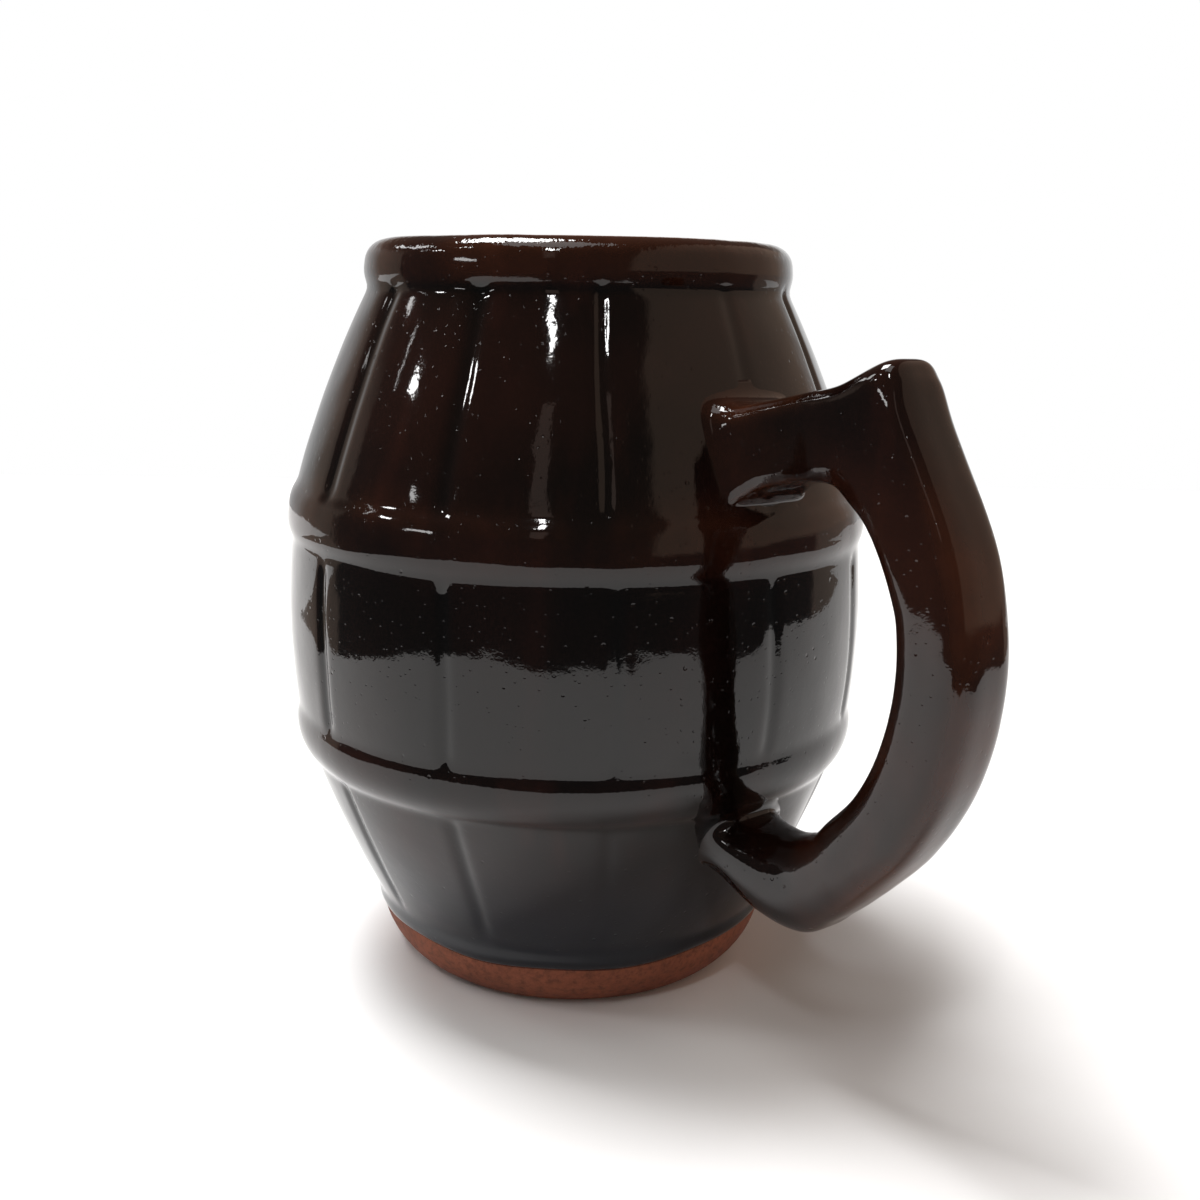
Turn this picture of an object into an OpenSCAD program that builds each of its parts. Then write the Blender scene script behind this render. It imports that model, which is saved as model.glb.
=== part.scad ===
// Barrel-shaped stoneware mug: a moulded red-clay vessel with staves and two hoops, a bow handle with
// a thumb horn and a tail, joined to the vessel with slip, and a coat of brown glaze over it.
// +Z is up, the handle points along +X, and the origin is the middle of the foot on the table.

/* [Barrel] */
// Diameter of the belly, over the glaze
belly_d = 100; // [98:0.5:103]
// Outside diameter of the lip
lip_d = 72.2; // [71:0.2:73]
// Diameter of the foot where it meets the table
foot_d = 60.2; // [58:0.2:62]
// Height of the mug
height = 124.8; // [124:0.2:127]
// Thickness of the wall, clay and glaze together
wall = 5.2; // [4.6:0.2:6]
// Thickness of the lip
lip_t = 6; // [5.6:0.2:6.4]
// Height of the floor above the table
floor_z = 8; // [7:0.5:10]
// Depth of the hollow under the foot
foot_hollow = 1.2; // [0.8:0.2:2]

/* [Staves and hoops] */
// Number of staves round the barrel
staves = 12; // [8:2:16]
// Depth of the groove between two staves
groove_d = 0.7; // [0.4:0.1:0.9]
// Radius of the groove's round bottom
groove_r = 1.6; // [1.2:0.1:1.8]
// How far the two hoops bulge
hoop_bulge = 0.9; // [0.6:0.1:1.2]

/* [Handle] */
// Thickness of the bar, seen from the side
bar_t = 12.4; // [11:0.2:13]
// Width of the bar, seen from the end
bar_w = 12.4; // [11:0.2:13.6]
// Radius of the bow's centreline
bow_r = 40.4; // [39.4:0.2:41.4]
// Height of the horn's tip above the bow's centre
horn_rise = 40.6; // [39:0.2:42]
// Squareness of the bar: 2 is an ellipse, more is squarer
squareness = 3; // [2.2:0.1:3.6]

/* [Glaze] */
// Thickness of the glaze
glaze_t = 0.5; // [0.4:0.05:0.6]
// Height of the bare clay band at the foot
bare_h = 9; // [7:0.2:10.4]

/* [Hidden] */

CLAY = "#b4623c";
SLIP = "#c08058";
GLAZE = "#3a1712";

turn_fn = 144;      // facets round the barrel
arc_fn = 360;       // facets of a long profile arc
edge_fn = 64;       // facets of a small profile arc
rod_fn = 32;        // facets round a groove's rod
belly_r = belly_d / 2;
lip_r = lip_d / 2;

lip_end_r = lip_t / 2;                  // the lip's top is half round
neck_z = height - 8;

// The outside, over the glaze, is a chain of arcs from the foot to the lip.
// Each point is [radius, height, bulge of the arc above it].
outline = [
    [foot_d / 2, 0, 1.7],
    [belly_r - 14.4, 11.6, 0.5],
    [belly_r - 3.2, 38, 0.1],
    [belly_r - 2, 39.2, hoop_bulge],
    [belly_r - 0.9, 46.6, 0.85],
    [belly_r - 0.7, 76, hoop_bulge + 0.4],
    [belly_r - 2.1, 86.2, 0.9],
    [lip_r - 0.5, neck_z, 0.15],
    [lip_r, height - lip_end_r]
];
low_zone = 1;
mid_zone = 4;
high_zone = 6;
last_zone = len(outline) - 2;

function corner(i) = [outline[i][0], outline[i][1]];
function chord(i) = corner(i + 1) - corner(i);
function arc_r(i) = (pow(norm(chord(i)) / 2, 2) + pow(outline[i][2], 2)) / (2 * outline[i][2]);
function arc_centre(i) =
    (corner(i) + corner(i + 1)) / 2
    - [chord(i)[1], -chord(i)[0]] / norm(chord(i)) * (arc_r(i) - outline[i][2]);
// Radius of zone i at height z, a depth of inset below the glaze's surface
function zone_at(i, z, inset) =
    arc_centre(i)[0] + sqrt(pow(arc_r(i) - inset, 2) - pow(z - arc_centre(i)[1], 2));
function zone_of(z) = [for (i = [0:last_zone]) if (z >= outline[i][1] && z < outline[i + 1][1]) i][0];
function surface_at(z) = zone_at(zone_of(z), z, 0);
// Direction of height z seen from the centre of zone i's arc
function arc_angle(i, z) = asin((z - arc_centre(i)[1]) / arc_r(i));

// ---- vessel ----

// A plain core that lies 1 mm inside the outside's corners
module core_profile(inset) {
    polygon(concat(
        [[0, 0]],
        [for (i = [0:last_zone + 1]) corner(i) - [1 + inset, 0]],
        [[0, height - lip_end_r]]
    ));
}

// The arc of one zone, down to the core
module zone_profile(i, inset) {
    z0 = outline[i][1];
    intersection() {
        translate(arc_centre(i)) circle(r = arc_r(i) - inset, $fn = arc_fn);
        translate([min(corner(i)[0], corner(i + 1)[0]) - 2, z0]) square([belly_r, chord(i)[1]]);
    }
}

// The half-round end of the lip
module lip_profile(inset) {
    translate([lip_r - lip_end_r, height - lip_end_r]) circle(r = lip_end_r - inset, $fn = edge_fn);
    translate([0, height - lip_end_r]) square([lip_r - lip_end_r, lip_end_r - inset]);
}

// The inside's widest arc runs between the floor's corner and the shoulder
floor_corner_r = 10;
cavity_low = [zone_at(low_zone, floor_z + floor_corner_r, wall), floor_z + floor_corner_r];
shoulder_z = 104;
cavity_high = [zone_at(high_zone, shoulder_z, wall), shoulder_z];
cavity_bulge = 9.6;
cavity_chord = cavity_high - cavity_low;
cavity_r = (pow(norm(cavity_chord) / 2, 2) + pow(cavity_bulge, 2)) / (2 * cavity_bulge);
cavity_centre = (cavity_low + cavity_high) / 2
    - [cavity_chord[1], -cavity_chord[0]] / norm(cavity_chord) * (cavity_r - cavity_bulge);

// The space inside; grow is how far behind the glaze's surface it is measured
module cavity_profile(grow) {
    mouth_r = lip_r - lip_t;
    corner_x = cavity_low[0] - floor_corner_r;
    intersection() {
        translate(cavity_centre) circle(r = cavity_r + grow, $fn = arc_fn);
        translate([0, cavity_low[1]]) square([belly_r, cavity_high[1] - cavity_low[1]]);
    }
    translate([corner_x, cavity_low[1]]) circle(r = floor_corner_r + grow, $fn = edge_fn);
    translate([0, floor_z - grow]) square([corner_x, floor_corner_r + grow]);
    polygon([
        [0, cavity_low[1]],
        cavity_low + [grow, 0],
        cavity_high + [grow, 0],
        [mouth_r + grow, neck_z],
        [mouth_r + grow, height - lip_end_r],
        [0, height - lip_end_r]
    ]);
    difference() {
        translate([0, height - lip_end_r]) square([lip_r - lip_end_r, lip_end_r + 1]);
        translate([lip_r - lip_end_r, height - lip_end_r]) circle(r = lip_end_r - grow, $fn = edge_fn);
    }
}

module outside_profile(inset) {
    core_profile(inset);
    for (i = [0:last_zone]) zone_profile(i, inset);
    lip_profile(inset);
}

// A bent round rod that follows zone i's arc, short of both its ends, and sinks groove_d into it
module groove_rod(i, grow) {
    end_gap = 1;
    a0 = arc_angle(i, outline[i][1] + end_gap);
    a1 = arc_angle(i, outline[i + 1][1] - end_gap);
    translate([arc_centre(i)[0], 0, arc_centre(i)[1]])
        rotate([90, 0, 0])
            rotate_extrude(angle = a1 - a0, start = a0, $fn = arc_fn)
                translate([arc_r(i) + groove_r - groove_d, 0])
                    circle(r = groove_r + grow, $fn = rod_fn);
}

// The handle's roots cover the groove on +X above and below the hoops
module grooves(grow) {
    for (k = [0:staves - 1]) rotate([0, 0, k * 360 / staves]) {
        groove_rod(mid_zone, grow);
        if (k > 0) groove_rod(low_zone, grow);
        if (k > 0) groove_rod(high_zone, grow);
    }
}

module vessel(inset) {
    difference() {
        rotate_extrude($fn = turn_fn) difference() {
            outside_profile(inset);
            cavity_profile(inset);
        }
        grooves(inset);
    }
}

module barrel_body() {
    foot_ring = 5;
    color(CLAY) difference() {
        vessel(glaze_t);
        translate([0, 0, -1]) cylinder(h = foot_hollow + 1, r = foot_d / 2 - foot_ring, $fn = turn_fn);
    }
}

// ---- handle ----

// Each station across the bar is [inner point, outer point, half width], where a point is [x, z]
bow_centre = [42, 68];
horn_z = bow_centre[1] + horn_rise;
upper_root_z = [86.6, 100.4];
lower_root_z = [28.4, 36.8];
half_w = bar_w / 2;

function on_surface(z) = [surface_at(z), z];
function bow_point(a, r) = bow_centre + r * [cos(a), sin(a)];
function bow_station(a) = [bow_point(a, bow_r - bar_t / 2), bow_point(a, bow_r + bar_t / 2), half_w];

arm_and_horn = [
    [[50.6, 88.8], [51, 102], half_w + 0.6],
    [[55.5, 90.4], [57, 103.4], half_w],
    [[60.2, 91.2], [63.5, 105], half_w],
    [[64, 91], [71.2, horn_z], half_w],
    [[67, 89], [74.2, horn_z - 2], half_w],
    [[70.4, 86.2], [77, 100.6], half_w]
];
bow = [for (a = [24:-12:-48]) bow_station(a)];
tail = [
    [[61.8, 39.4], [66.8, 27.2], half_w],
    [[56.6, 36.9], [62, 23.6], half_w],
    [[51.6, 36.4], [53.6, 24], half_w + 0.4]
];
upper_root_w = half_w + 1.8;
lower_root_w = half_w + 1;
upper_root = [on_surface(upper_root_z[0]), on_surface(upper_root_z[1]), upper_root_w];
lower_root = [on_surface(lower_root_z[1]), on_surface(lower_root_z[0]), lower_root_w];
stations = concat([upper_root], arm_and_horn, bow, tail, [lower_root]);

steps = 3;          // rings from one station to the next
ring_n = 20;        // points round a ring
last_station = len(stations) - 1;

function station(i) = stations[max(0, min(last_station, i))];
function through(p0, p1, p2, p3, t) = 0.5 * (2 * p1 + (p2 - p0) * t
    + (2 * p0 - 5 * p1 + 4 * p2 - p3) * t * t + (3 * p1 - p0 - 3 * p2 + p3) * t * t * t);
function between(i, t) = through(station(i - 1), station(i), station(i + 1), station(i + 2), t);
function power(v) = sign(v) * pow(abs(v), 2 / squareness);

// A ring of points round one station, with the section shrunk by inset
function ring(s, inset) =
    let (mid = (s[0] + s[1]) / 2, half = (s[1] - s[0]) / 2, fit = 1 - inset / norm(half))
    [for (j = [0:ring_n - 1]) let (
        a = 360 * j / ring_n,
        p = mid + half * fit * power(cos(a))
    ) [p[0], (s[2] - inset) * power(sin(a)), p[1]]];

// The ring drawn in towards its middle and laid on the barrel
function root_ring(s, inset, scale) =
    let (mid = (s[0] + s[1]) / 2)
    [for (p = ring(s, inset)) let (
        y = p[1] * scale,
        z = mid[1] + (p[2] - mid[1]) * scale
    ) [sqrt(pow(surface_at(z), 2) - y * y), y, z]];

function bar_rings(inset) = concat(
    [root_ring(stations[0], inset, 1)],
    [for (k = [1:steps * last_station - 1]) ring(between(floor(k / steps), k % steps / steps), inset)],
    [root_ring(stations[last_station], inset, 1)]
);

function joined(lists) = [for (list = lists) for (item = list) item];
// Faces between ring a and ring b, which are numbers counted in rings
function band(a, b) = joined([for (j = [0:ring_n - 1]) let (k = (j + 1) % ring_n) [
    [a * ring_n + j, a * ring_n + k, b * ring_n + j],
    [a * ring_n + k, b * ring_n + k, b * ring_n + j]
]]);
function cap(a, tip, first) = [for (j = [0:ring_n - 1]) let (k = (j + 1) % ring_n)
    first ? [a * ring_n + k, a * ring_n + j, tip] : [a * ring_n + j, a * ring_n + k, tip]];

module handle() {
    near = [for (k = [0, 0.35, 0.7]) root_ring(stations[0], glaze_t, k)];
    far = [for (k = [0, 0.35, 0.7]) root_ring(stations[last_station], glaze_t, k)];
    rings = concat([near[1], near[2]], bar_rings(glaze_t), [far[2], far[1]]);
    count = len(rings);
    tips = [near[0][0], far[0][0]];
    color(CLAY) polyhedron(
        points = concat(joined(rings), tips),
        faces = concat(
            joined([for (i = [0:count - 2]) band(i, i + 1)]),
            cap(0, count * ring_n, true),
            cap(count - 1, count * ring_n + 1, false)
        )
    );
}

module handle_glaze() {
    outer = bar_rings(0);
    inner = bar_rings(glaze_t);
    count = len(outer);
    rings = concat(outer, [for (i = [count - 1:-1:0]) inner[i]]);
    color(GLAZE) polyhedron(
        points = joined(rings),
        faces = joined([for (i = [0:2 * count - 1]) band(i, (i + 1) % (2 * count))])
    );
}

// ---- joints and glaze ----

// A layer of slip between the two pieces of clay, as thick as the glaze and inside the edge of a root
module slip_layer(root_z, root_w) {
    margin = 2.4;       // from the layer's edge to the root's edge
    r = (root_z[1] - root_z[0]) / 2 - margin;
    side = root_w - margin - r;
    middle_z = (root_z[0] + root_z[1]) / 2;
    x = belly_r - 12;
    reach = 20;         // from inside the wall to outside the glaze
    intersection() {
        rotate_extrude($fn = turn_fn) difference() {
            outside_profile(0);
            outside_profile(glaze_t);
        }
        translate([x, 0, middle_z]) {
            for (y = [-side, side]) translate([0, y, 0])
                rotate([0, 90, 0]) cylinder(h = reach, r = r, $fn = edge_fn);
            translate([0, -side, -r]) cube([reach, 2 * side, 2 * r]);
        }
    }
}

module upper_slip() {
    color(SLIP) slip_layer(upper_root_z, upper_root_w);
}

module lower_slip() {
    color(SLIP) slip_layer(lower_root_z, lower_root_w);
}

module body_glaze() {
    color(GLAZE) difference() {
        vessel(0);
        vessel(glaze_t);
        translate([0, 0, -1]) cylinder(h = bare_h + 1, r = belly_r, $fn = turn_fn);
        upper_slip();
        lower_slip();
    }
}

barrel_body();
handle();
upper_slip();
lower_slip();
body_glaze();
handle_glaze();
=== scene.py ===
"""Looks of the barrel mug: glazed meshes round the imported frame, and a plain studio."""

import math

import bpy
import numpy as np
from mathutils import Matrix, Vector


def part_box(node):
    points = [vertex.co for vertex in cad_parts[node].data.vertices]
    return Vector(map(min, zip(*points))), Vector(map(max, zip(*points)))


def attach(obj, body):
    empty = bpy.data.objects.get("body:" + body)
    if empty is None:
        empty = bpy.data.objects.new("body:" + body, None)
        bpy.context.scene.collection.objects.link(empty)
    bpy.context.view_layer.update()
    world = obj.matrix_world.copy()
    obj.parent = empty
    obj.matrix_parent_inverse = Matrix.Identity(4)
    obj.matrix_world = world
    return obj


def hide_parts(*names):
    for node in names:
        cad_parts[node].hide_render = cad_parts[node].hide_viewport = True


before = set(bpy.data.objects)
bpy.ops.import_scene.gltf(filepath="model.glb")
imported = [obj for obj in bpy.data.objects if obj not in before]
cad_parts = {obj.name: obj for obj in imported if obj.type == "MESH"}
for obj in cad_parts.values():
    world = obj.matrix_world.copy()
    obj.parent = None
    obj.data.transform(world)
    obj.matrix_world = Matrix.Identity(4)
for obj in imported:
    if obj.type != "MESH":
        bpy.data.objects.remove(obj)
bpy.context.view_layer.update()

MM = 0.001
rng = np.random.default_rng(7)

# ---- sizes, in millimetres ----

glaze_low, glaze_high = (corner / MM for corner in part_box("body_glaze"))
HEIGHT = glaze_high.z
BARE_H = glaze_low.z
BELLY_R = 50.0
LIP_R = 36.1
LIP_T = 6.0
FOOT_R = 30.1
FLOOR_Z = 8.0
FLOOR_R = 23.0
GLAZE_T = 0.5
CLAY_GAP = 0.04
NECK_Z = HEIGHT - 8
STAVES = 12
FOOT_RING = 5.0
HOLLOW_R = FOOT_R - FOOT_RING
HOLLOW_H = 1.2


# ---- curves and noise ----

def arc(a, b, bulge, spacing=0.35):
    """Points from a to b, without b, along an arc that bulges to the right of the way from a to b."""
    a, b = np.array(a, float), np.array(b, float)
    chord = b - a
    length = np.linalg.norm(chord)
    count = max(2, int(length / spacing))
    t = np.linspace(0, 1, count, endpoint=False)
    if bulge == 0:
        return a + t[:, None] * chord
    radius = (length * length / 4 + bulge * bulge) / (2 * bulge)
    side = np.array([chord[1], -chord[0]]) / length
    centre = (a + b) / 2 - side * (radius - bulge)
    start = math.atan2(*(a - centre)[::-1])
    end = math.atan2(*(b - centre)[::-1])
    turn = (end - start + math.pi) % (2 * math.pi) - math.pi
    angle = start + t * turn
    return centre + abs(radius) * np.stack([np.cos(angle), np.sin(angle)], 1)


def resample(points, spacing):
    """The same polyline with even steps of about that spacing."""
    step = np.linalg.norm(np.diff(points, axis=0), axis=1)
    s = np.concatenate([[0], np.cumsum(step)])
    even = np.linspace(0, s[-1], int(round(s[-1] / spacing)) + 1)
    return np.stack([np.interp(even, s, points[:, k]) for k in range(points.shape[1])], 1)


def soften(points, sigma, spacing):
    """Rounds a polyline's corners, as glaze does. Both ends stay."""
    reach = int(4 * sigma / spacing)
    kernel = np.exp(-0.5 * (np.arange(-reach, reach + 1) * spacing / sigma) ** 2)
    kernel /= kernel.sum()
    before = 2 * points[0] - points[reach:0:-1]
    after = 2 * points[-1] - points[-2:-reach - 2:-1]
    padded = np.concatenate([before, points, after])
    return np.stack([np.convolve(padded[:, k], kernel, "valid") for k in range(points.shape[1])], 1)


def normals_2d(points):
    """Unit vectors to the right of the way along a curve, which is out of the clay."""
    along = np.gradient(points, axis=0)
    along /= np.linalg.norm(along, axis=1)[:, None]
    return np.stack([along[:, 1], -along[:, 0]], 1)


def waves(points, size, seed, count=28):
    """Smooth noise of about -1 to 1 with bumps of about that size, from a sum of plane waves."""
    source = np.random.default_rng(seed)
    total = np.zeros(points.shape[:-1])
    for _ in range(count):
        direction = source.normal(size=3)
        direction /= np.linalg.norm(direction)
        rate = 2 * math.pi / (size * source.uniform(0.7, 1.6))
        total += np.sin(points @ direction * rate + source.uniform(0, 2 * math.pi))
    return total / math.sqrt(count)


def smooth(x, low, high):
    """0 below low, 1 above high, and a smooth step between them."""
    t = np.clip((x - low) / (high - low), 0, 1)
    return t * t * (3 - 2 * t)


# ---- the vessel's outline ----

# Each point is [radius, height, bulge of the arc above it]
OUTLINE = [
    [FOOT_R, 0, 1.7],
    [BELLY_R - 14.4, 11.6, 0.5],
    [BELLY_R - 3.2, 38, 0.1],
    [BELLY_R - 2, 39.2, 0.9],
    [BELLY_R - 0.9, 46.6, 0.85],
    [BELLY_R - 0.7, 76, 0.15],
    [BELLY_R, 78.6, 0.04],
    [BELLY_R - 0.25, 81.5, 0.32],
    [BELLY_R - 1.9, 85.2, 0.9],
    [LIP_R - 0.6, NECK_Z + 0.4, 0.4],
    [LIP_R, HEIGHT - 4, 1.05],
    [LIP_R - 3.4, HEIGHT, 0.85],
    [LIP_R - LIP_T, HEIGHT - LIP_T / 2, 0],
]
# The inside: two points on it, and how far its arcs bulge away from the axis
SHOULDER = [35.7, 104]
LOW_CORNER = [33, 18]
SHOULDER_BULGE = 0.4
CAVITY_BULGE = 9.6
FLOOR_CORNER_BULGE = 2.9
# The spacing of the curve's points, and how far the glaze rounds its corners
FINE = 0.25
EDGE_SOFTNESS = 0.5
NECK_SOFTNESS = 0.8


def outside_curve():
    return np.concatenate([arc(a[:2], b[:2], a[2]) for a, b in zip(OUTLINE, OUTLINE[1:])])


def inside_curve():
    mouth_r = LIP_R - LIP_T
    return np.concatenate([
        arc([mouth_r, HEIGHT - LIP_T / 2], [mouth_r, NECK_Z], 0),
        arc([mouth_r, NECK_Z], SHOULDER, -SHOULDER_BULGE),
        arc(SHOULDER, LOW_CORNER, -CAVITY_BULGE),
        arc(LOW_CORNER, [FLOOR_R, FLOOR_Z], -FLOOR_CORNER_BULGE),
        arc([FLOOR_R, FLOOR_Z], [0, FLOOR_Z], 0),
        [[0, FLOOR_Z]],
    ])


def front_curve():
    """The glaze's surface: from the foot up the outside, over the lip, and down to the floor's middle."""
    sharp = resample(np.concatenate([outside_curve(), inside_curve()]), FINE)
    close, broad = soften(sharp, EDGE_SOFTNESS, FINE), soften(sharp, NECK_SOFTNESS, FINE)
    z = sharp[:, 1]
    neck = smooth(z, NECK_Z - 5, NECK_Z - 1.5) * (1 - smooth(z, NECK_Z + 2, NECK_Z + 4))
    neck *= np.arange(len(z)) < np.argmax(z)  # outside only
    return close + (broad - close) * neck[:, None]


FRONT = front_curve()
LIP_INDEX = int(np.argmax(FRONT[:, 1]))


def surface_r(z):
    """Radius of the outside at height z."""
    return np.interp(z, FRONT[:LIP_INDEX, 1], FRONT[:LIP_INDEX, 0])


# ---- relief on the vessel ----

# The grooves of a zone are [low end, high end, fade at each end, depth, half width, lean]
GROOVE_ZONES = [
    [11.8, 38.4, 5, 2.5, 0.42, 1.2, 0.02],
    [46.4, 76, 2.5, 3, 0.42, 1.3, 0.0],
    [83.5, NECK_Z + 1.5, 3.5, 2.5, 0.58, 1.15, -0.012],
]
# Depth and width of each groove as shares of its zone's: [groove, zone, depth or width].
# Groove 0 is under the handle, and 9 to 11 face the camera.
groove_marks = rng.uniform(0.85, 1.15, size=(STAVES, 3, 2))
groove_marks[0, :, 0] = [0, 0.7, 0.4]
groove_marks[9, 2] = [0.9, 1.6]
groove_marks[10, 2] = [1.0, 1.4]
groove_marks[11, :, 0] = [0.35, 0.7, 0.6]
# How far an upper groove stands from its place, towards larger angles, in millimetres
UPPER_SHIFT = {10: -0.8, 11: -1.5}
GROOVE_WANDER = 0.25
WANDER_RATE = 0.19


def groove_cut(radius, z, angle):
    """Depth of the grooves between staves at a place on the outside, in millimetres."""
    cut = np.zeros_like(z)
    for k in range(STAVES):
        turn = (angle - math.radians(360 * k / STAVES) + math.pi) % (2 * math.pi) - math.pi
        for (z0, z1, fade0, fade1, depth, width, lean), mark in zip(GROOVE_ZONES, groove_marks[k]):
            wander = GROOVE_WANDER * np.sin(z * WANDER_RATE + 7 * mark[1])
            shift = UPPER_SHIFT.get(k, 0) * smooth(z, 80, 84)
            across = turn * radius + lean * (z - (z0 + z1) / 2) + wander - shift
            ends = smooth(z, z0, z0 + fade0) * (1 - smooth(z, z1 - fade1, z1))
            cut += depth * mark[0] * ends * np.exp(-(across / (width * mark[1])) ** 2)
    return cut


def swell(points):
    """The hand-made unevenness of the vessel."""
    return 0.02 * waves(points, 7, 3) + 0.05 * waves(points, 24, 4)


def column_angles():
    """Angles round the vessel, close together near each groove."""
    step = math.radians(360 / STAVES)
    near = math.radians(4.2)
    one = np.concatenate([near * np.linspace(-1, 1, 15), np.linspace(near, step - near, 11)[1:-1]])
    return np.concatenate([k * step + one for k in range(STAVES)])


ANGLES = column_angles()
COLUMNS = len(ANGLES)
SPOKES = np.stack([np.cos(ANGLES), np.sin(ANGLES), 0 * ANGLES], 1)


def revolve(curve, grooved, swelling):
    """Grid of points [row, column, xyz] of a curve turned round +Z, and the depth of its grooves.
    grooved and swelling say, for each row, how much of the grooves and of the swell it takes."""
    normal = normals_2d(curve)
    radius = np.repeat(curve[:, :1], COLUMNS, 1)
    z = np.repeat(curve[:, 1:], COLUMNS, 1)
    cut = groove_cut(radius, z, ANGLES[None]) * grooved[:, None]
    spots = radius[:, :, None] * SPOKES[None]
    spots[:, :, 2] = z
    push = swell(spots) * swelling[:, None] - cut
    points = (radius + normal[:, :1] * push)[:, :, None] * SPOKES[None]
    points[:, :, 2] = z + normal[:, 1:] * push
    return points, cut


# ---- meshes ----

def grid_faces(rows, columns, first=0):
    """Faces of a grid that closes on itself across its columns."""
    r, c = np.meshgrid(np.arange(rows - 1), np.arange(columns), indexing="ij")
    d = (c + 1) % columns
    quads = np.stack([r * columns + c, r * columns + d, (r + 1) * columns + d, (r + 1) * columns + c], 2)
    return (quads.reshape(-1, 4) + first).tolist()


def join_faces(row_a, row_b, columns):
    """Faces between two rows of a grid, which are numbers counted in rows."""
    turn = [(c, (c + 1) % columns) for c in range(columns)]
    a, b = row_a * columns, row_b * columns
    return [[a + c, a + d, b + d, b + c] for c, d in turn]


def fan_faces(row, tip, columns, forward=True):
    """Triangles between a row of a grid and one point."""
    turn = [(c, (c + 1) % columns) for c in range(columns)]
    base = row * columns
    return [[base + c, base + d, tip] if forward else [base + d, base + c, tip] for c, d in turn]


def make_piece(name, points, faces, material, values=None):
    """A smooth-shaded mesh from points in millimetres. values has the numbers of each point attribute."""
    mesh = bpy.data.meshes.new(name)
    mesh.from_pydata((np.asarray(points) * MM).tolist(), [], faces)
    mesh.update()
    mesh.polygons.foreach_set("use_smooth", [True] * len(mesh.polygons))
    for key, numbers in (values or {}).items():
        layer = mesh.attributes.new(key, "FLOAT", "POINT")
        layer.data.foreach_set("value", np.asarray(numbers, np.float32))
    mesh.materials.append(material)
    piece = bpy.data.objects.new(name, mesh)
    bpy.context.scene.collection.objects.link(piece)
    return piece


def convexity(points):
    """How sharply a row of points turns, in radians per millimetre, positive where it bulges."""
    normal = normals_2d(points)
    turn = np.gradient(np.unwrap(np.arctan2(normal[:, 1], normal[:, 0])))
    step = np.linalg.norm(np.gradient(points, axis=0), axis=1)
    return turn / step


GLAZE_STEP = 0.68
GLAZE_STEP_INSIDE = 2.4
WAVER = 0.4
# The roll of glaze at the lower edge: how thick, how far above the edge, and how broad
ROLL_T = 0.3
ROLL_RISE = 1.9
ROLL_SPREAD = 1.3
EDGE_ROUNDING = 0.5


def add_lower_edge(front, back, rows, outside):
    """Makes the lower edge waver, and makes it a roll: thick just above a rounded edge."""
    waver = WAVER * waves(20 * SPOKES, 16, 11)
    rise = np.maximum(rows[:, 1] - rows[0, 1], 0)
    front[:, :, 2] += (outside * (1 - smooth(rise, 0, 5)))[:, None] * waver[None]
    back[0, :, 2] += waver
    edge = GLAZE_T * np.exp(-(rise / EDGE_ROUNDING) ** 1.5)
    roll = outside * (ROLL_T * np.exp(-((rise - ROLL_RISE) / ROLL_SPREAD) ** 2) - edge)
    normal = normals_2d(rows)
    front += (normal[:, 0] * roll)[:, None, None] * SPOKES[None]
    front[:, :, 2] += (normal[:, 1] * roll)[:, None]


def vessel_tints(rows, outside, cut):
    """Where the coat is thin, pooled, blue and uneven, and where the belly band gets painted shade, from 0
    to 1 at each point of the front.
    """
    bend, z = convexity(rows), rows[:, 1]
    grooves = np.clip(cut * 1.4, 0, 1)
    on_lip = 0.16 * smooth(z, NECK_Z, NECK_Z + 3)
    on_hoop = 0.14 * smooth(z, 76, 79) * (1 - smooth(z, 84, 90))
    # The belly band between the hoops is darkened with the pooled colour: painted shade, not pooled glaze.
    belly_shade = 0.6 * smooth(z, 45, 48) * (1 - smooth(z, 74, 77)) * outside
    around = np.ones((1, COLUMNS))
    return {
        "thin": (smooth(bend, 0.2, 0.8) + on_lip + on_hoop)[:, None] * (1 - grooves),
        "pooled_and_shade": np.clip(grooves + (smooth(-bend, 0.1, 0.5) + belly_shade)[:, None], 0, 1),
        "blue": (outside * (1 - smooth(z, 12, 38)))[:, None] * around,
        "uneven": smooth(z, HEIGHT - 3.2, HEIGHT - 1.6)[:, None] * around,
    }


def vessel_glaze(material):
    """The coat as a closed shell: the front, then the back half a millimetre behind it."""
    start = np.searchsorted(FRONT[:LIP_INDEX, 1], BARE_H - 0.2)
    outer = resample(FRONT[start:LIP_INDEX], GLAZE_STEP)
    inner = resample(FRONT[LIP_INDEX:], GLAZE_STEP_INSIDE)[:-1]
    rows = np.concatenate([outer, inner])
    outside = np.arange(len(rows)) < len(outer)
    flare = smooth(rows[:, 0], 4, 12)
    front, cut = revolve(rows, outside, flare)
    back_rows = (rows - normals_2d(rows) * GLAZE_T)[::3]
    back, _ = revolve(back_rows, outside[::3], flare[::3])
    add_lower_edge(front, back, rows, outside)

    grid = np.concatenate([front, back[::-1]])
    tips = [[0, 0, FLOOR_Z], [0, 0, FLOOR_Z - GLAZE_T]]
    count = len(grid)
    tip = count * COLUMNS
    faces = (
        grid_faces(len(front), COLUMNS)
        + grid_faces(len(back), COLUMNS, len(front) * COLUMNS)
        + join_faces(count - 1, 0, COLUMNS)
        + fan_faces(len(front) - 1, tip, COLUMNS)
        + fan_faces(len(front), tip + 1, COLUMNS, forward=False)
    )
    unseen = np.zeros(back.shape[0] * COLUMNS + len(tips))
    tints = vessel_tints(rows, outside, cut)
    values = {key: np.append(tint, unseen) for key, tint in tints.items()}
    return make_piece("vessel_glaze", np.concatenate([grid.reshape(-1, 3), tips]), faces, material, values)


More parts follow.
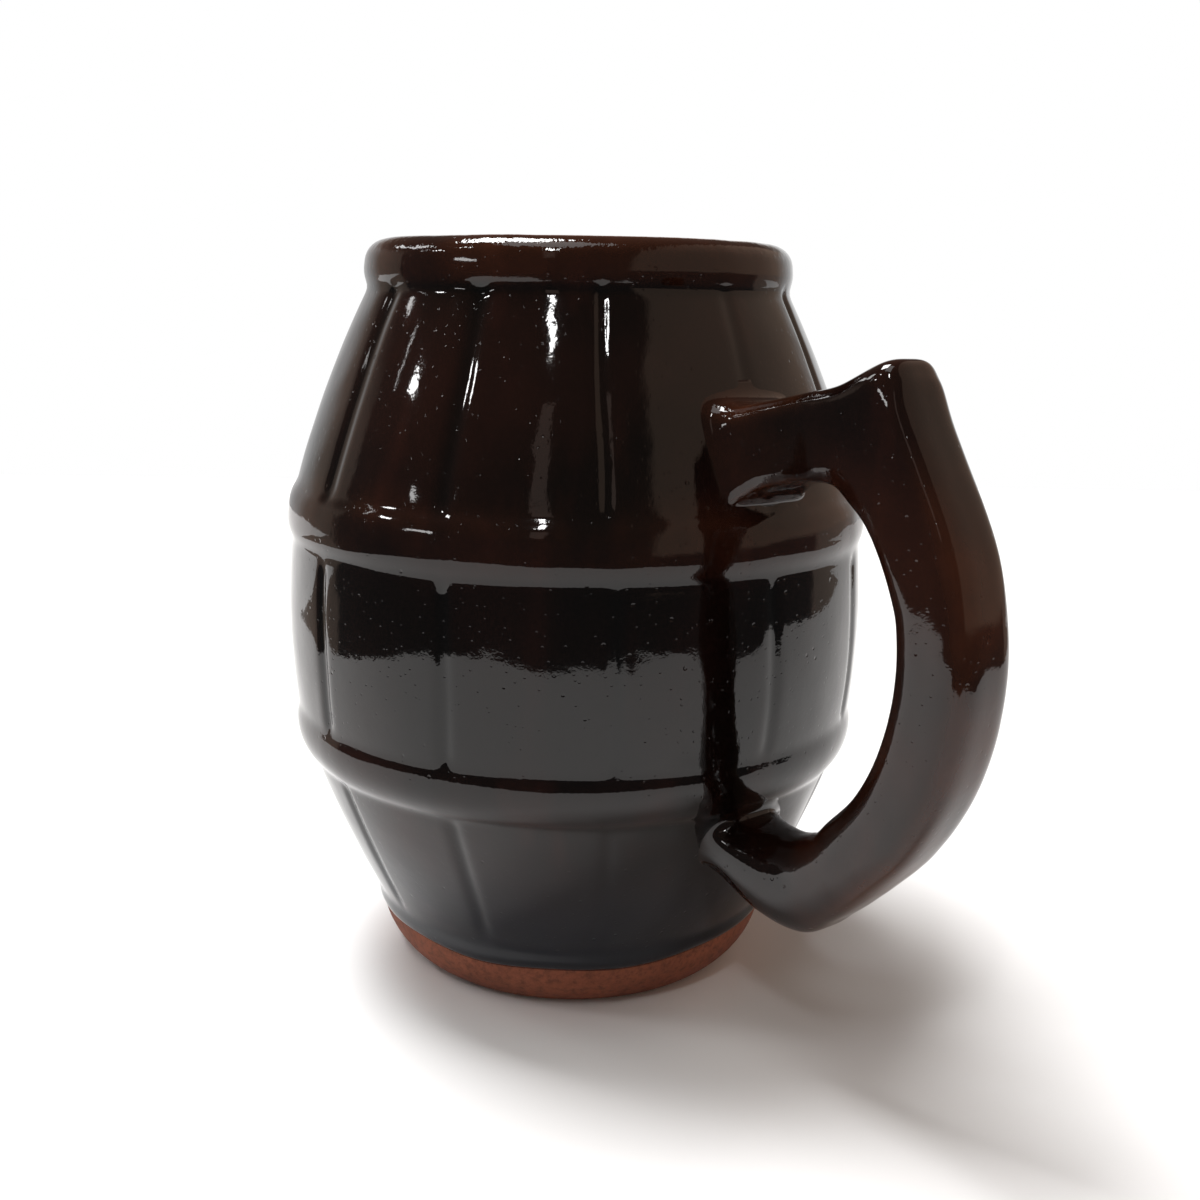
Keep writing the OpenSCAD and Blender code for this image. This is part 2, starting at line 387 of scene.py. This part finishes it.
def vessel_clay(material):
    """The clay as one closed solid, from the middle of the foot's hollow to the middle of the floor."""
    depth = GLAZE_T + CLAY_GAP
    bead = HOLLOW_R + 0.6
    hollow = np.concatenate([
        arc([0.6, HOLLOW_H], [HOLLOW_R - 1, HOLLOW_H], 0, 1.5),
        arc([HOLLOW_R - 1, HOLLOW_H], [bead, 0], 0.3, 0.3),
        arc([bead, 0], [FOOT_R - depth - 0.5, 0], 0, 0.6),
    ])
    skin = FRONT - normals_2d(FRONT) * depth
    skin = skin[skin[:, 1] > 0.35]
    split = np.searchsorted(skin[:200, 1], BARE_H + 2)
    band, hidden = resample(skin[:split], 0.5), resample(skin[split:], 1.6)[:-1]
    rows = np.concatenate([hollow, band, hidden])
    index = np.arange(len(rows))
    outside = (index >= len(hollow)) & (index < np.argmax(rows[:, 1]))
    swelling = smooth(rows[:, 0], 4, 12) * smooth(rows[:, 1], 0.8, 3)
    grid, _ = revolve(rows, outside, swelling)
    tips = np.array([[0, 0, HOLLOW_H], [0, 0, FLOOR_Z - depth]])
    tip = grid.shape[0] * COLUMNS
    faces = (
        grid_faces(len(rows), COLUMNS)
        + fan_faces(0, tip, COLUMNS, forward=False)
        + fan_faces(len(rows) - 1, tip + 1, COLUMNS)
    )
    return make_piece("vessel_clay", np.concatenate([grid.reshape(-1, 3), tips]), faces, material)


# ---- the handle ----

BOW_CENTRE = np.array([42.0, 68.0])
BOW_R = 40.4
BAR_T = 12.4
HALF_W = 6.2
# The exponent of the bar's section, where 2 is an ellipse, and how much it differs in some places:
# higher near the upper root and on the arm's inner side, and lower on the tail's inner side
SQUARENESS = 3.5
ROOT_SQUARER = 2.0
ARM_INNER_SQUARER = 2.5
TAIL_INNER_ROUNDER = 1.0
HORN_Z = BOW_CENTRE[1] + 40.6


def bow_station(degrees):
    """The station at an angle on the bow, which is round."""
    a = math.radians(degrees)
    ray = np.array([math.cos(a), math.sin(a)])
    return [*(BOW_CENTRE + (BOW_R - BAR_T / 2) * ray), *(BOW_CENTRE + (BOW_R + BAR_T / 2) * ray), HALF_W]


# Each station is [inner x, inner z, outer x, outer z, half width]
UPPER_ROOT = [surface_r(86.6), 86.6, surface_r(100.4), 100.4, HALF_W + 1.8]
LOWER_ROOT = [surface_r(36.8), 36.8, surface_r(28.4), 28.4, HALF_W + 1]
ARM_AND_HORN = [
    [50.6, 88.8, 51, 102, HALF_W + 0.6],
    [55.5, 90.4, 57, 103.4, HALF_W],
    [60.2, 91.2, 63.5, 105, HALF_W],
    [64, 91, 71.2, HORN_Z, HALF_W],
    [67, 89, 74.2, HORN_Z - 2, HALF_W],
    [70.4, 86.2, 77, 100.6, HALF_W],
]
BOW = [bow_station(a) for a in (24, 12, 0, -12, -24, -36, -48)]
TAIL = [
    [61.8, 39.4, 66.8, 27.2, HALF_W],
    [56.6, 36.9, 62, 23.6, HALF_W],
    [51.6, 36.4, 53.6, 24, HALF_W + 0.4],
]
STATIONS = np.array([UPPER_ROOT, *ARM_AND_HORN, *BOW, *TAIL, LOWER_ROOT])
RING_N = 96
BAR_N = 190
FILLET_N = 16
UPPER_FILLET = 2.2
LOWER_FILLET = 1.8
ROOT_SINK = 0.12


def station_at(t):
    """The station at t stations along the handle, on a smooth curve through all of them."""
    i = min(int(t), len(STATIONS) - 2)
    f = t - i
    p = [STATIONS[min(max(j, 0), len(STATIONS) - 1)] for j in (i - 1, i, i + 1, i + 2)]
    return 0.5 * (
        2 * p[1] + (p[2] - p[0]) * f
        + (2 * p[0] - 5 * p[1] + 4 * p[2] - p[3]) * f ** 2
        + (3 * p[1] - p[0] - 3 * p[2] + p[3]) * f ** 3
    )


def even_ring(ring):
    """The same ring with its points at even distances."""
    loop = np.concatenate([ring, ring[:1]])
    step = np.linalg.norm(np.diff(loop, axis=0), axis=1)
    s = np.concatenate([[0], np.cumsum(step)])
    even = np.linspace(0, s[-1], RING_N, endpoint=False)
    return np.stack([np.interp(even, s, loop[:, k]) for k in range(3)], 1)


def section(station, inset=0.0):
    """A rounded-square ring of evenly spaced points round a station."""
    inner, outer, half_w = station[0:2], station[2:4], station[4]
    middle, half = (inner + outer) / 2, (outer - inner) / 2
    shrink = 1 - inset / np.linalg.norm(half)
    a = np.linspace(0, 2 * math.pi, 8 * RING_N, endpoint=False)
    on_arm = smooth(middle[1], 75, 88)
    on_tail = 1 - smooth(middle[1], 34, 58)
    near_root = on_arm * (1 - smooth(middle[0], 54, 68))
    inner_side = (ARM_INNER_SQUARER * on_arm - TAIL_INNER_ROUNDER * on_tail) * (np.cos(a) < 0)
    power = 2 / (SQUARENESS + ROOT_SQUARER * near_root + inner_side)
    u = np.sign(np.cos(a)) * np.abs(np.cos(a)) ** power
    v = np.sign(np.sin(a)) * np.abs(np.sin(a)) ** power
    across = middle + half[None] * (shrink * u)[:, None]
    return even_ring(np.stack([across[:, 0], (half_w - inset) * v, across[:, 1]], 1))


def on_vessel(ring, grow, sink):
    """The ring spread by grow, more at its top, laid on the vessel and sunk into it by sink."""
    middle = ring.mean(0)
    out = ring - middle
    reach = np.hypot(out[:, 1], out[:, 2])
    spread = 1 + grow * (1 + 0.75 * out[:, 2] / reach) / reach
    y = middle[1] + out[:, 1] * spread
    z = middle[2] + out[:, 2] * spread
    x = np.sqrt((surface_r(z) - sink) ** 2 - y * y)
    return np.stack([x, y, z], 1)


def root_rings(free, station, grow, sink):
    """Rings of the fillet from the free ring of the bar down to the vessel."""
    foot = on_vessel(section(station), 0, sink)
    spread = on_vessel(section(station), grow, sink)
    u = np.linspace(1, 0, FILLET_N, endpoint=False)[:, None, None]
    return (1 - u) ** 2 * free + 2 * u * (1 - u) * foot + u * u * spread


def bar_rings(inset):
    """All rings of the handle, from root to root, that far behind the glaze's surface."""
    ts = np.linspace(0.5, len(STATIONS) - 1.5, BAR_N)
    bar = np.array([section(station_at(t), inset) for t in ts])
    sink = ROOT_SINK + inset
    upper = root_rings(bar[0], STATIONS[0], UPPER_FILLET - inset, sink)
    lower = root_rings(bar[-1], STATIONS[-1], LOWER_FILLET - inset, sink)
    return np.concatenate([upper, bar, lower[::-1]])


def wobbled(rings):
    """The rings with the hand-made unevenness of the bar, which fades out at the roots."""
    out = rings - rings.mean(1, keepdims=True)
    out /= np.linalg.norm(out, axis=2, keepdims=True)
    wobble = 0.03 * waves(rings, 15, 21) + 0.012 * waves(rings, 5, 22)
    ends = np.minimum(np.arange(len(rings)), np.arange(len(rings))[::-1])
    return rings + out * (wobble * smooth(ends, 0, 8)[:, None])[:, :, None]


def ring_bend(rings):
    """How far each ring turns round each of its points, in radians."""
    ahead = np.roll(rings, -2, 1) - rings
    behind = rings - np.roll(rings, 2, 1)
    ahead /= np.linalg.norm(ahead, axis=2, keepdims=True)
    behind /= np.linalg.norm(behind, axis=2, keepdims=True)
    return np.arccos(np.clip((ahead * behind).sum(2), -1, 1))


def handle_tints(rings):
    """Where the coat is thin and uneven: on the corners, and thin on the back of the bow too."""
    bend = ring_bend(rings)
    middle = rings.mean(1, keepdims=True)
    outward = rings[:, :1] - middle
    on_back = ((rings - middle) * outward).sum(2) / (outward * outward).sum(2)
    return {
        "thin": 0.09 + 0.38 * smooth(bend, 0.5, 0.8) + 0.28 * smooth(on_back, 0.5, 0.95),
        "uneven": smooth(bend, 0.3, 0.6) * smooth(rings[:, :, 2], 92, 98),
    }


def handle_glaze(material):
    """The handle's coat as a closed shell, open towards the vessel like a sleeve."""
    outer = wobbled(bar_rings(0))
    inner = bar_rings(GLAZE_T)[::3]
    rings = np.concatenate([outer, inner[::-1]])
    faces = grid_faces(len(rings), RING_N) + join_faces(len(rings) - 1, 0, RING_N)
    unseen = np.zeros(len(inner) * RING_N)
    values = {key: np.append(tint, unseen) for key, tint in handle_tints(outer).items()}
    return make_piece("handle_coat", rings.reshape(-1, 3), faces, material, values)


def handle_clay(material):
    """The handle's clay, a closed solid with a flat face at each root."""
    rings = bar_rings(GLAZE_T + CLAY_GAP)[::4]
    faces = grid_faces(len(rings), RING_N)
    faces.append(list(range(RING_N))[::-1])
    faces.append([(len(rings) - 1) * RING_N + c for c in range(RING_N)])
    return make_piece("handle_clay", rings.reshape(-1, 3), faces, material)


# ---- materials ----

def new_material(name):
    material = bpy.data.materials.new(name)
    material.use_nodes = True
    nodes, links = material.node_tree.nodes, material.node_tree.links
    return material, nodes, links, nodes["Principled BSDF"]


def noise(nodes, links, coords, scale, detail=3.0, rough=0.5):
    """Noise with about that many bumps in a metre."""
    node = nodes.new("ShaderNodeTexNoise")
    node.inputs["Scale"].default_value = scale
    node.inputs["Detail"].default_value = detail
    node.inputs["Roughness"].default_value = rough
    links.new(coords, node.inputs["Vector"])
    return node.outputs["Fac"]


def ramp(nodes, links, value, *stops):
    """The colour for a value, from stops of (value, colour)."""
    node = nodes.new("ShaderNodeValToRGB")
    elements = node.color_ramp.elements
    while len(elements) < len(stops):
        elements.new(0.5)
    for element, (place, colour) in zip(elements, stops):
        element.position = place
        element.color = (*colour, 1)
    links.new(value, node.inputs["Fac"])
    return node.outputs["Color"]


def set_or_link(links, socket, value):
    """Gives a socket a number, a colour or another node's output."""
    if isinstance(value, bpy.types.NodeSocket):
        links.new(value, socket)
    else:
        socket.default_value = value if isinstance(value, (int, float)) else (*value, 1)


def mix(nodes, links, fac, a, b, kind="MIX"):
    node = nodes.new("ShaderNodeMix")
    node.data_type = "RGBA"
    node.blend_type = kind
    set_or_link(links, node.inputs["Factor"], fac)
    colours = [socket for socket in node.inputs if socket.type == "RGBA"]
    set_or_link(links, colours[0], a)
    set_or_link(links, colours[1], b)
    return next(socket for socket in node.outputs if socket.type == "RGBA")


def maths(nodes, links, kind, a, b=0.0, c=0.0):
    node = nodes.new("ShaderNodeMath")
    node.operation = kind
    for socket, value in zip(node.inputs, (a, b, c)):
        set_or_link(links, socket, value)
    return node.outputs[0]


def between(nodes, links, value, low, high):
    """0 below low and 1 above high, or the other way round where low is the larger."""
    node = nodes.new("ShaderNodeMapRange")
    node.interpolation_type = "SMOOTHSTEP"
    node.inputs["From Min"].default_value = low
    node.inputs["From Max"].default_value = high
    links.new(value, node.inputs["Value"])
    return node.outputs["Result"]


def bump(nodes, links, shader, height, strength, distance):
    node = nodes.new("ShaderNodeBump")
    node.inputs["Strength"].default_value = strength
    node.inputs["Distance"].default_value = distance
    links.new(height, node.inputs["Height"])
    links.new(node.outputs["Normal"], shader.inputs["Normal"])


def attribute(nodes, name):
    node = nodes.new("ShaderNodeAttribute")
    node.attribute_name = name
    return node.outputs["Fac"]


GLAZE_DEEP = (0.003, 0.0016, 0.0013)
GLAZE_BROWN = (0.014, 0.0045, 0.003)
GLAZE_RUN = (0.030, 0.008, 0.005)
GLAZE_AMBER = (0.13, 0.036, 0.013)
GLAZE_BLACK = (0.002, 0.0016, 0.0015)
GLAZE_BLUE = (0.004, 0.005, 0.009)
# Pinholes and specks, each as (how many in a metre, size beside their spacing, depth)
PITS = ((240, 0.09, 1.0), (700, 0.16, 0.4))


def glaze_colour(nodes, links, coords):
    """Brown clouds with faint upright runs, amber where thin, black where pooled and as painted shade on
    the belly band, blue at the foot.
    """
    body = ramp(nodes, links, noise(nodes, links, coords, 32, 4), (0.38, GLAZE_DEEP), (0.68, GLAZE_BROWN))
    upright = nodes.new("ShaderNodeMapping")
    upright.inputs["Scale"].default_value = (1, 1, 0.2)
    links.new(coords, upright.inputs["Vector"])
    runs = between(nodes, links, noise(nodes, links, upright.outputs["Vector"], 130, 3), 0.5, 0.75)
    body = mix(nodes, links, maths(nodes, links, "MULTIPLY", runs, 0.4), body, GLAZE_RUN)
    patches = between(nodes, links, noise(nodes, links, coords, 45, 4), 0.3, 0.7)
    thin = maths(nodes, links, "MULTIPLY", attribute(nodes, "thin"), patches)
    body = mix(nodes, links, thin, body, GLAZE_AMBER)
    # Black for pooled glaze in grooves and hollows, and painted shade on the belly band.
    body = mix(nodes, links, attribute(nodes, "pooled_and_shade"), body, GLAZE_BLACK)
    return mix(nodes, links, attribute(nodes, "blue"), body, GLAZE_BLUE)


def glaze_relief(nodes, links, coords):
    """Orange peel, with a few pinholes and many specks, and ripples where the coat is uneven."""
    relief = maths(nodes, links, "MULTIPLY_ADD", noise(nodes, links, coords, 300, 4, 0.6), 0.6, 0)
    for scale, edge, depth in PITS:
        holes = nodes.new("ShaderNodeTexVoronoi")
        holes.inputs["Scale"].default_value = scale
        links.new(coords, holes.inputs["Vector"])
        pit = between(nodes, links, holes.outputs["Distance"], edge / 2, edge)
        relief = maths(nodes, links, "MULTIPLY_ADD", pit, depth, relief)
    fine = noise(nodes, links, coords, 1000, 2)
    ripple = maths(nodes, links, "MULTIPLY", fine, attribute(nodes, "uneven"))
    return maths(nodes, links, "MULTIPLY_ADD", ripple, 1.5, relief)


def glaze_material(name):
    """Glossy dark brown glaze, which reads the point attributes for thin coat, pooled coat with painted
    shade on the belly band, blue coat and uneven coat.
    """
    material, nodes, links, shader = new_material(name)
    coords = nodes.new("ShaderNodeTexCoord").outputs["Object"]
    links.new(glaze_colour(nodes, links, coords), shader.inputs["Base Color"])
    shader.inputs["IOR"].default_value = 1.45
    rough = noise(nodes, links, coords, 90, 2)
    links.new(maths(nodes, links, "MULTIPLY_ADD", rough, 0.05, 0.02), shader.inputs["Roughness"])
    bump(nodes, links, shader, glaze_relief(nodes, links, coords), 0.25, 0.0002)
    return material


def clay_material(name, colour, dark):
    """Matt clay: clouds between two colours, with grain and specks."""
    material, nodes, links, shader = new_material(name)
    coords = nodes.new("ShaderNodeTexCoord").outputs["Object"]
    cloud = noise(nodes, links, coords, 60, 5, 0.6)
    grain = noise(nodes, links, coords, 900, 4, 0.7)
    body = ramp(nodes, links, cloud, (0.3, dark), (0.7, colour))
    speck = ramp(nodes, links, grain, (0.34, [0.6] * 3), (0.5, [1.0] * 3), (0.68, [1.2] * 3))
    body = mix(nodes, links, 1.0, body, speck, "MULTIPLY")
    links.new(body, shader.inputs["Base Color"])
    shader.inputs["Roughness"].default_value = 0.85
    bump(nodes, links, shader, grain, 0.5, 0.0002)
    return material


glaze = glaze_material("brown_glaze")
clay = clay_material("red_clay", (0.245, 0.072, 0.034), (0.165, 0.046, 0.021))
slip = clay_material("fired_slip", (0.50, 0.24, 0.13), (0.40, 0.18, 0.09))

# ---- the pieces ----

coat = vessel_glaze(glaze)
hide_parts("body_glaze")
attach(coat, "root")

vessel = vessel_clay(clay)
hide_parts("barrel_body")
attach(vessel, "root")

bow_coat = handle_glaze(glaze)
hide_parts("handle_glaze")
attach(bow_coat, "root")

bow_clay = handle_clay(clay)
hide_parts("handle")
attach(bow_clay, "root")

for name in ("upper_slip", "lower_slip"):
    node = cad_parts[name]
    node.data.materials.clear()
    node.data.materials.append(slip)

# ---- the studio ----

CAMERA_AZIMUTH = math.radians(52.9)
CAMERA_REACH = 235.1
CAMERA_Z = 115.6
CAMERA_PITCH = math.radians(12.66)
CAMERA_YAW = math.radians(-1.07)
CAMERA_ROLL = math.radians(0.94)
SENSOR_MM = 36
LENS_MM = 40.13
# Turns a direction seen from the camera (right, away, up) into the frame's
TURN = Matrix.Rotation(CAMERA_AZIMUTH, 3, "Z")
WHITE = (1, 1, 1)


def stage_place(right, away, up):
    """A place in metres from one in millimetres, seen from the camera: right, away and up from the foot."""
    return TURN @ Vector((right, away, up)) * MM


def add_camera():
    """The photo's camera, found by fitting the mug's ellipses and outlines."""
    data = bpy.data.cameras.new("camera")
    data.sensor_width = SENSOR_MM
    data.lens = LENS_MM
    data.clip_start = 0.01
    camera = bpy.data.objects.new("camera", data)
    bpy.context.scene.collection.objects.link(camera)
    level = math.cos(CAMERA_PITCH)
    ahead = Vector((-math.sin(CAMERA_YAW) * level, math.cos(CAMERA_YAW) * level, -math.sin(CAMERA_PITCH)))
    right = Vector((math.cos(CAMERA_YAW), math.sin(CAMERA_YAW), 0))
    up = right.cross(ahead)
    rolled = math.cos(CAMERA_ROLL) * right + math.sin(CAMERA_ROLL) * up
    up = rolled.cross(ahead)
    axes = Matrix((TURN @ rolled, TURN @ up, TURN @ -ahead)).transposed()
    camera.matrix_world = Matrix.Translation(stage_place(0, -CAMERA_REACH, CAMERA_Z)) @ axes.to_4x4()
    bpy.context.scene.camera = camera


# The table's near edge as [degrees to the right of the camera, distance from the mug], in millimetres.
# The glaze mirrors it as the ragged border of its grey areas.
TABLE_EDGE = [
    [-130, 310], [-105, 270], [-85, 255], [-72, 300], [-58, 340], [-44, 350], [-30, 360], [-22, 330],
    [-14, 295], [0, 300], [14, 288], [24, 335], [45, 328], [64, 305], [78, 390], [95, 400],
    [112, 440], [120, 560],
]
TABLE_BACK = 620
TABLE_SIDE = 800


def add_floor():
    """A pale table top. The world takes its place behind it."""
    edge = [(math.radians(a), r) for a, r in TABLE_EDGE]
    places = [(r * math.sin(a), -r * math.cos(a)) for a, r in edge]
    places = [(-TABLE_SIDE, places[0][1])] + places + [(TABLE_SIDE, places[-1][1])]
    places += [(TABLE_SIDE, TABLE_BACK), (-TABLE_SIDE, TABLE_BACK)]
    mesh = bpy.data.meshes.new("floor")
    mesh.from_pydata([stage_place(x, y, 0) for x, y in places], [], [list(range(len(places)))])
    material, nodes, links, shader = new_material("floor")
    shader.inputs["Base Color"].default_value = (0.88, 0.88, 0.88, 1)
    shader.inputs["Roughness"].default_value = 0.7
    shader.inputs["Specular IOR Level"].default_value = 0.2
    mesh.materials.append(material)
    floor = bpy.data.objects.new("floor", mesh)
    bpy.context.scene.collection.objects.link(floor)


def add_light(name, azimuth, elevation, reach, width, height, radiance, colour=WHITE):
    """A soft box aimed at the mug, at so many degrees to the right of the camera and above the table."""
    a, e = math.radians(azimuth), math.radians(elevation)
    middle = stage_place(0, 0, HEIGHT / 2)
    back = TURN @ Vector((math.sin(a) * math.cos(e), -math.cos(a) * math.cos(e), math.sin(e)))
    data = bpy.data.lights.new(name, "AREA")
    data.shape = "RECTANGLE"
    data.size, data.size_y = width, height
    data.energy = radiance * width * height * math.pi
    data.color = colour
    light = bpy.data.objects.new(name, data)
    bpy.context.scene.collection.objects.link(light)
    light.location = middle + back * reach
    light.rotation_euler = back.to_track_quat("Z", "Y").to_euler()


ROOM_LOW = (0.08, 0.08, 0.08)
ROOM_HIGH = (0.10, 0.085, 0.075)
LEFT_WALL = (0.40, 0.32, 0.27)
RIGHT_WALL = (0.50, 0.37, 0.29)
BACK_LEFT = (0.70, 0.70, 0.70)
BACK_RIGHT = (0.95, 0.95, 0.95)


def add_world():
    """A white backdrop, and the room that the glaze mirrors in its place: pale low down behind the mug,
    warm walls at the sides, and dark round the camera."""
    world = bpy.data.worlds.new("room")
    bpy.context.scene.world = world
    world.use_nodes = True
    nodes, links = world.node_tree.nodes, world.node_tree.links
    direction = nodes.new("ShaderNodeTexCoord").outputs["Generated"]

    def along(vector):
        node = nodes.new("ShaderNodeVectorMath")
        node.operation = "DOT_PRODUCT"
        node.inputs[1].default_value = TURN @ Vector(vector)
        links.new(direction, node.inputs[0])
        return node.outputs["Value"]

    def inside(value, low, high):
        return between(nodes, links, value, low, high)

    def paint(mask, a, b):
        return mix(nodes, links, mask, a, b)

    def both(a, b):
        return maths(nodes, links, "MULTIPLY", a, b)

    rightward, backward, upward = along((1, 0, 0)), along((0, 1, 0)), along((0, 0, 1))
    dark = paint(inside(upward, 0.1, 0.5), ROOM_LOW, ROOM_HIGH)
    sides = paint(inside(backward, 0.22, 0.27), dark, LEFT_WALL)
    right = both(inside(rightward, 0.44, 0.50), inside(upward, -0.04, 0.02))
    walls = paint(right, sides, RIGHT_WALL)
    ceiling = paint(right, dark, RIGHT_WALL)
    room = paint(inside(upward, 0.24, 0.45), walls, ceiling)
    low = both(inside(backward, 0.6, 0.85), inside(upward, 0.34, 0.24))
    seen = nodes.new("ShaderNodeLightPath").outputs["Is Camera Ray"]
    behind = paint(inside(rightward, -0.3, 0.3), BACK_LEFT, BACK_RIGHT)
    colour = paint(seen, paint(low, room, behind), WHITE)
    links.new(colour, nodes["Background"].inputs["Color"])


# Each light is (name, azimuth, elevation, reach, width, height, radiance, colour), in degrees and metres.
# All but the first two are what gives the glaze its highlights: a lamp, a door and windows.
LIGHTS = [
    ("overhead", -130, 68, 2.5, 1.0, 1.0, 25.5),
    ("front_fill", -40, 76, 3.0, 1.6, 1.6, 2.2),
    ("lamp", -17, 48.5, 1.2, 0.05, 0.15, 50.0),
    ("doorway", -15, 30, 1.2, 0.13, 0.33, 0.5, (1, 0.74, 0.64)),
    ("window_high", -77, 45, 1.6, 0.16, 0.08, 36.0),
    ("window_low", -84, 29.7, 1.6, 0.12, 0.08, 36.0),
    ("curtain_gap", -95, 29, 1.6, 0.012, 0.2, 10.0),
    ("window_sill", -62, 16, 1.6, 0.35, 0.09, 10.0),
    ("side_window", -108, 36, 1.6, 0.2, 0.3, 8.0),
    ("far_window", -121, 31, 1.6, 0.3, 0.1, 7.0),
]

add_camera()
add_floor()
add_world()
for light in LIGHTS:
    add_light(*light)

bpy.context.scene.view_settings.view_transform = "Standard"

bpy.context.view_layer.update()
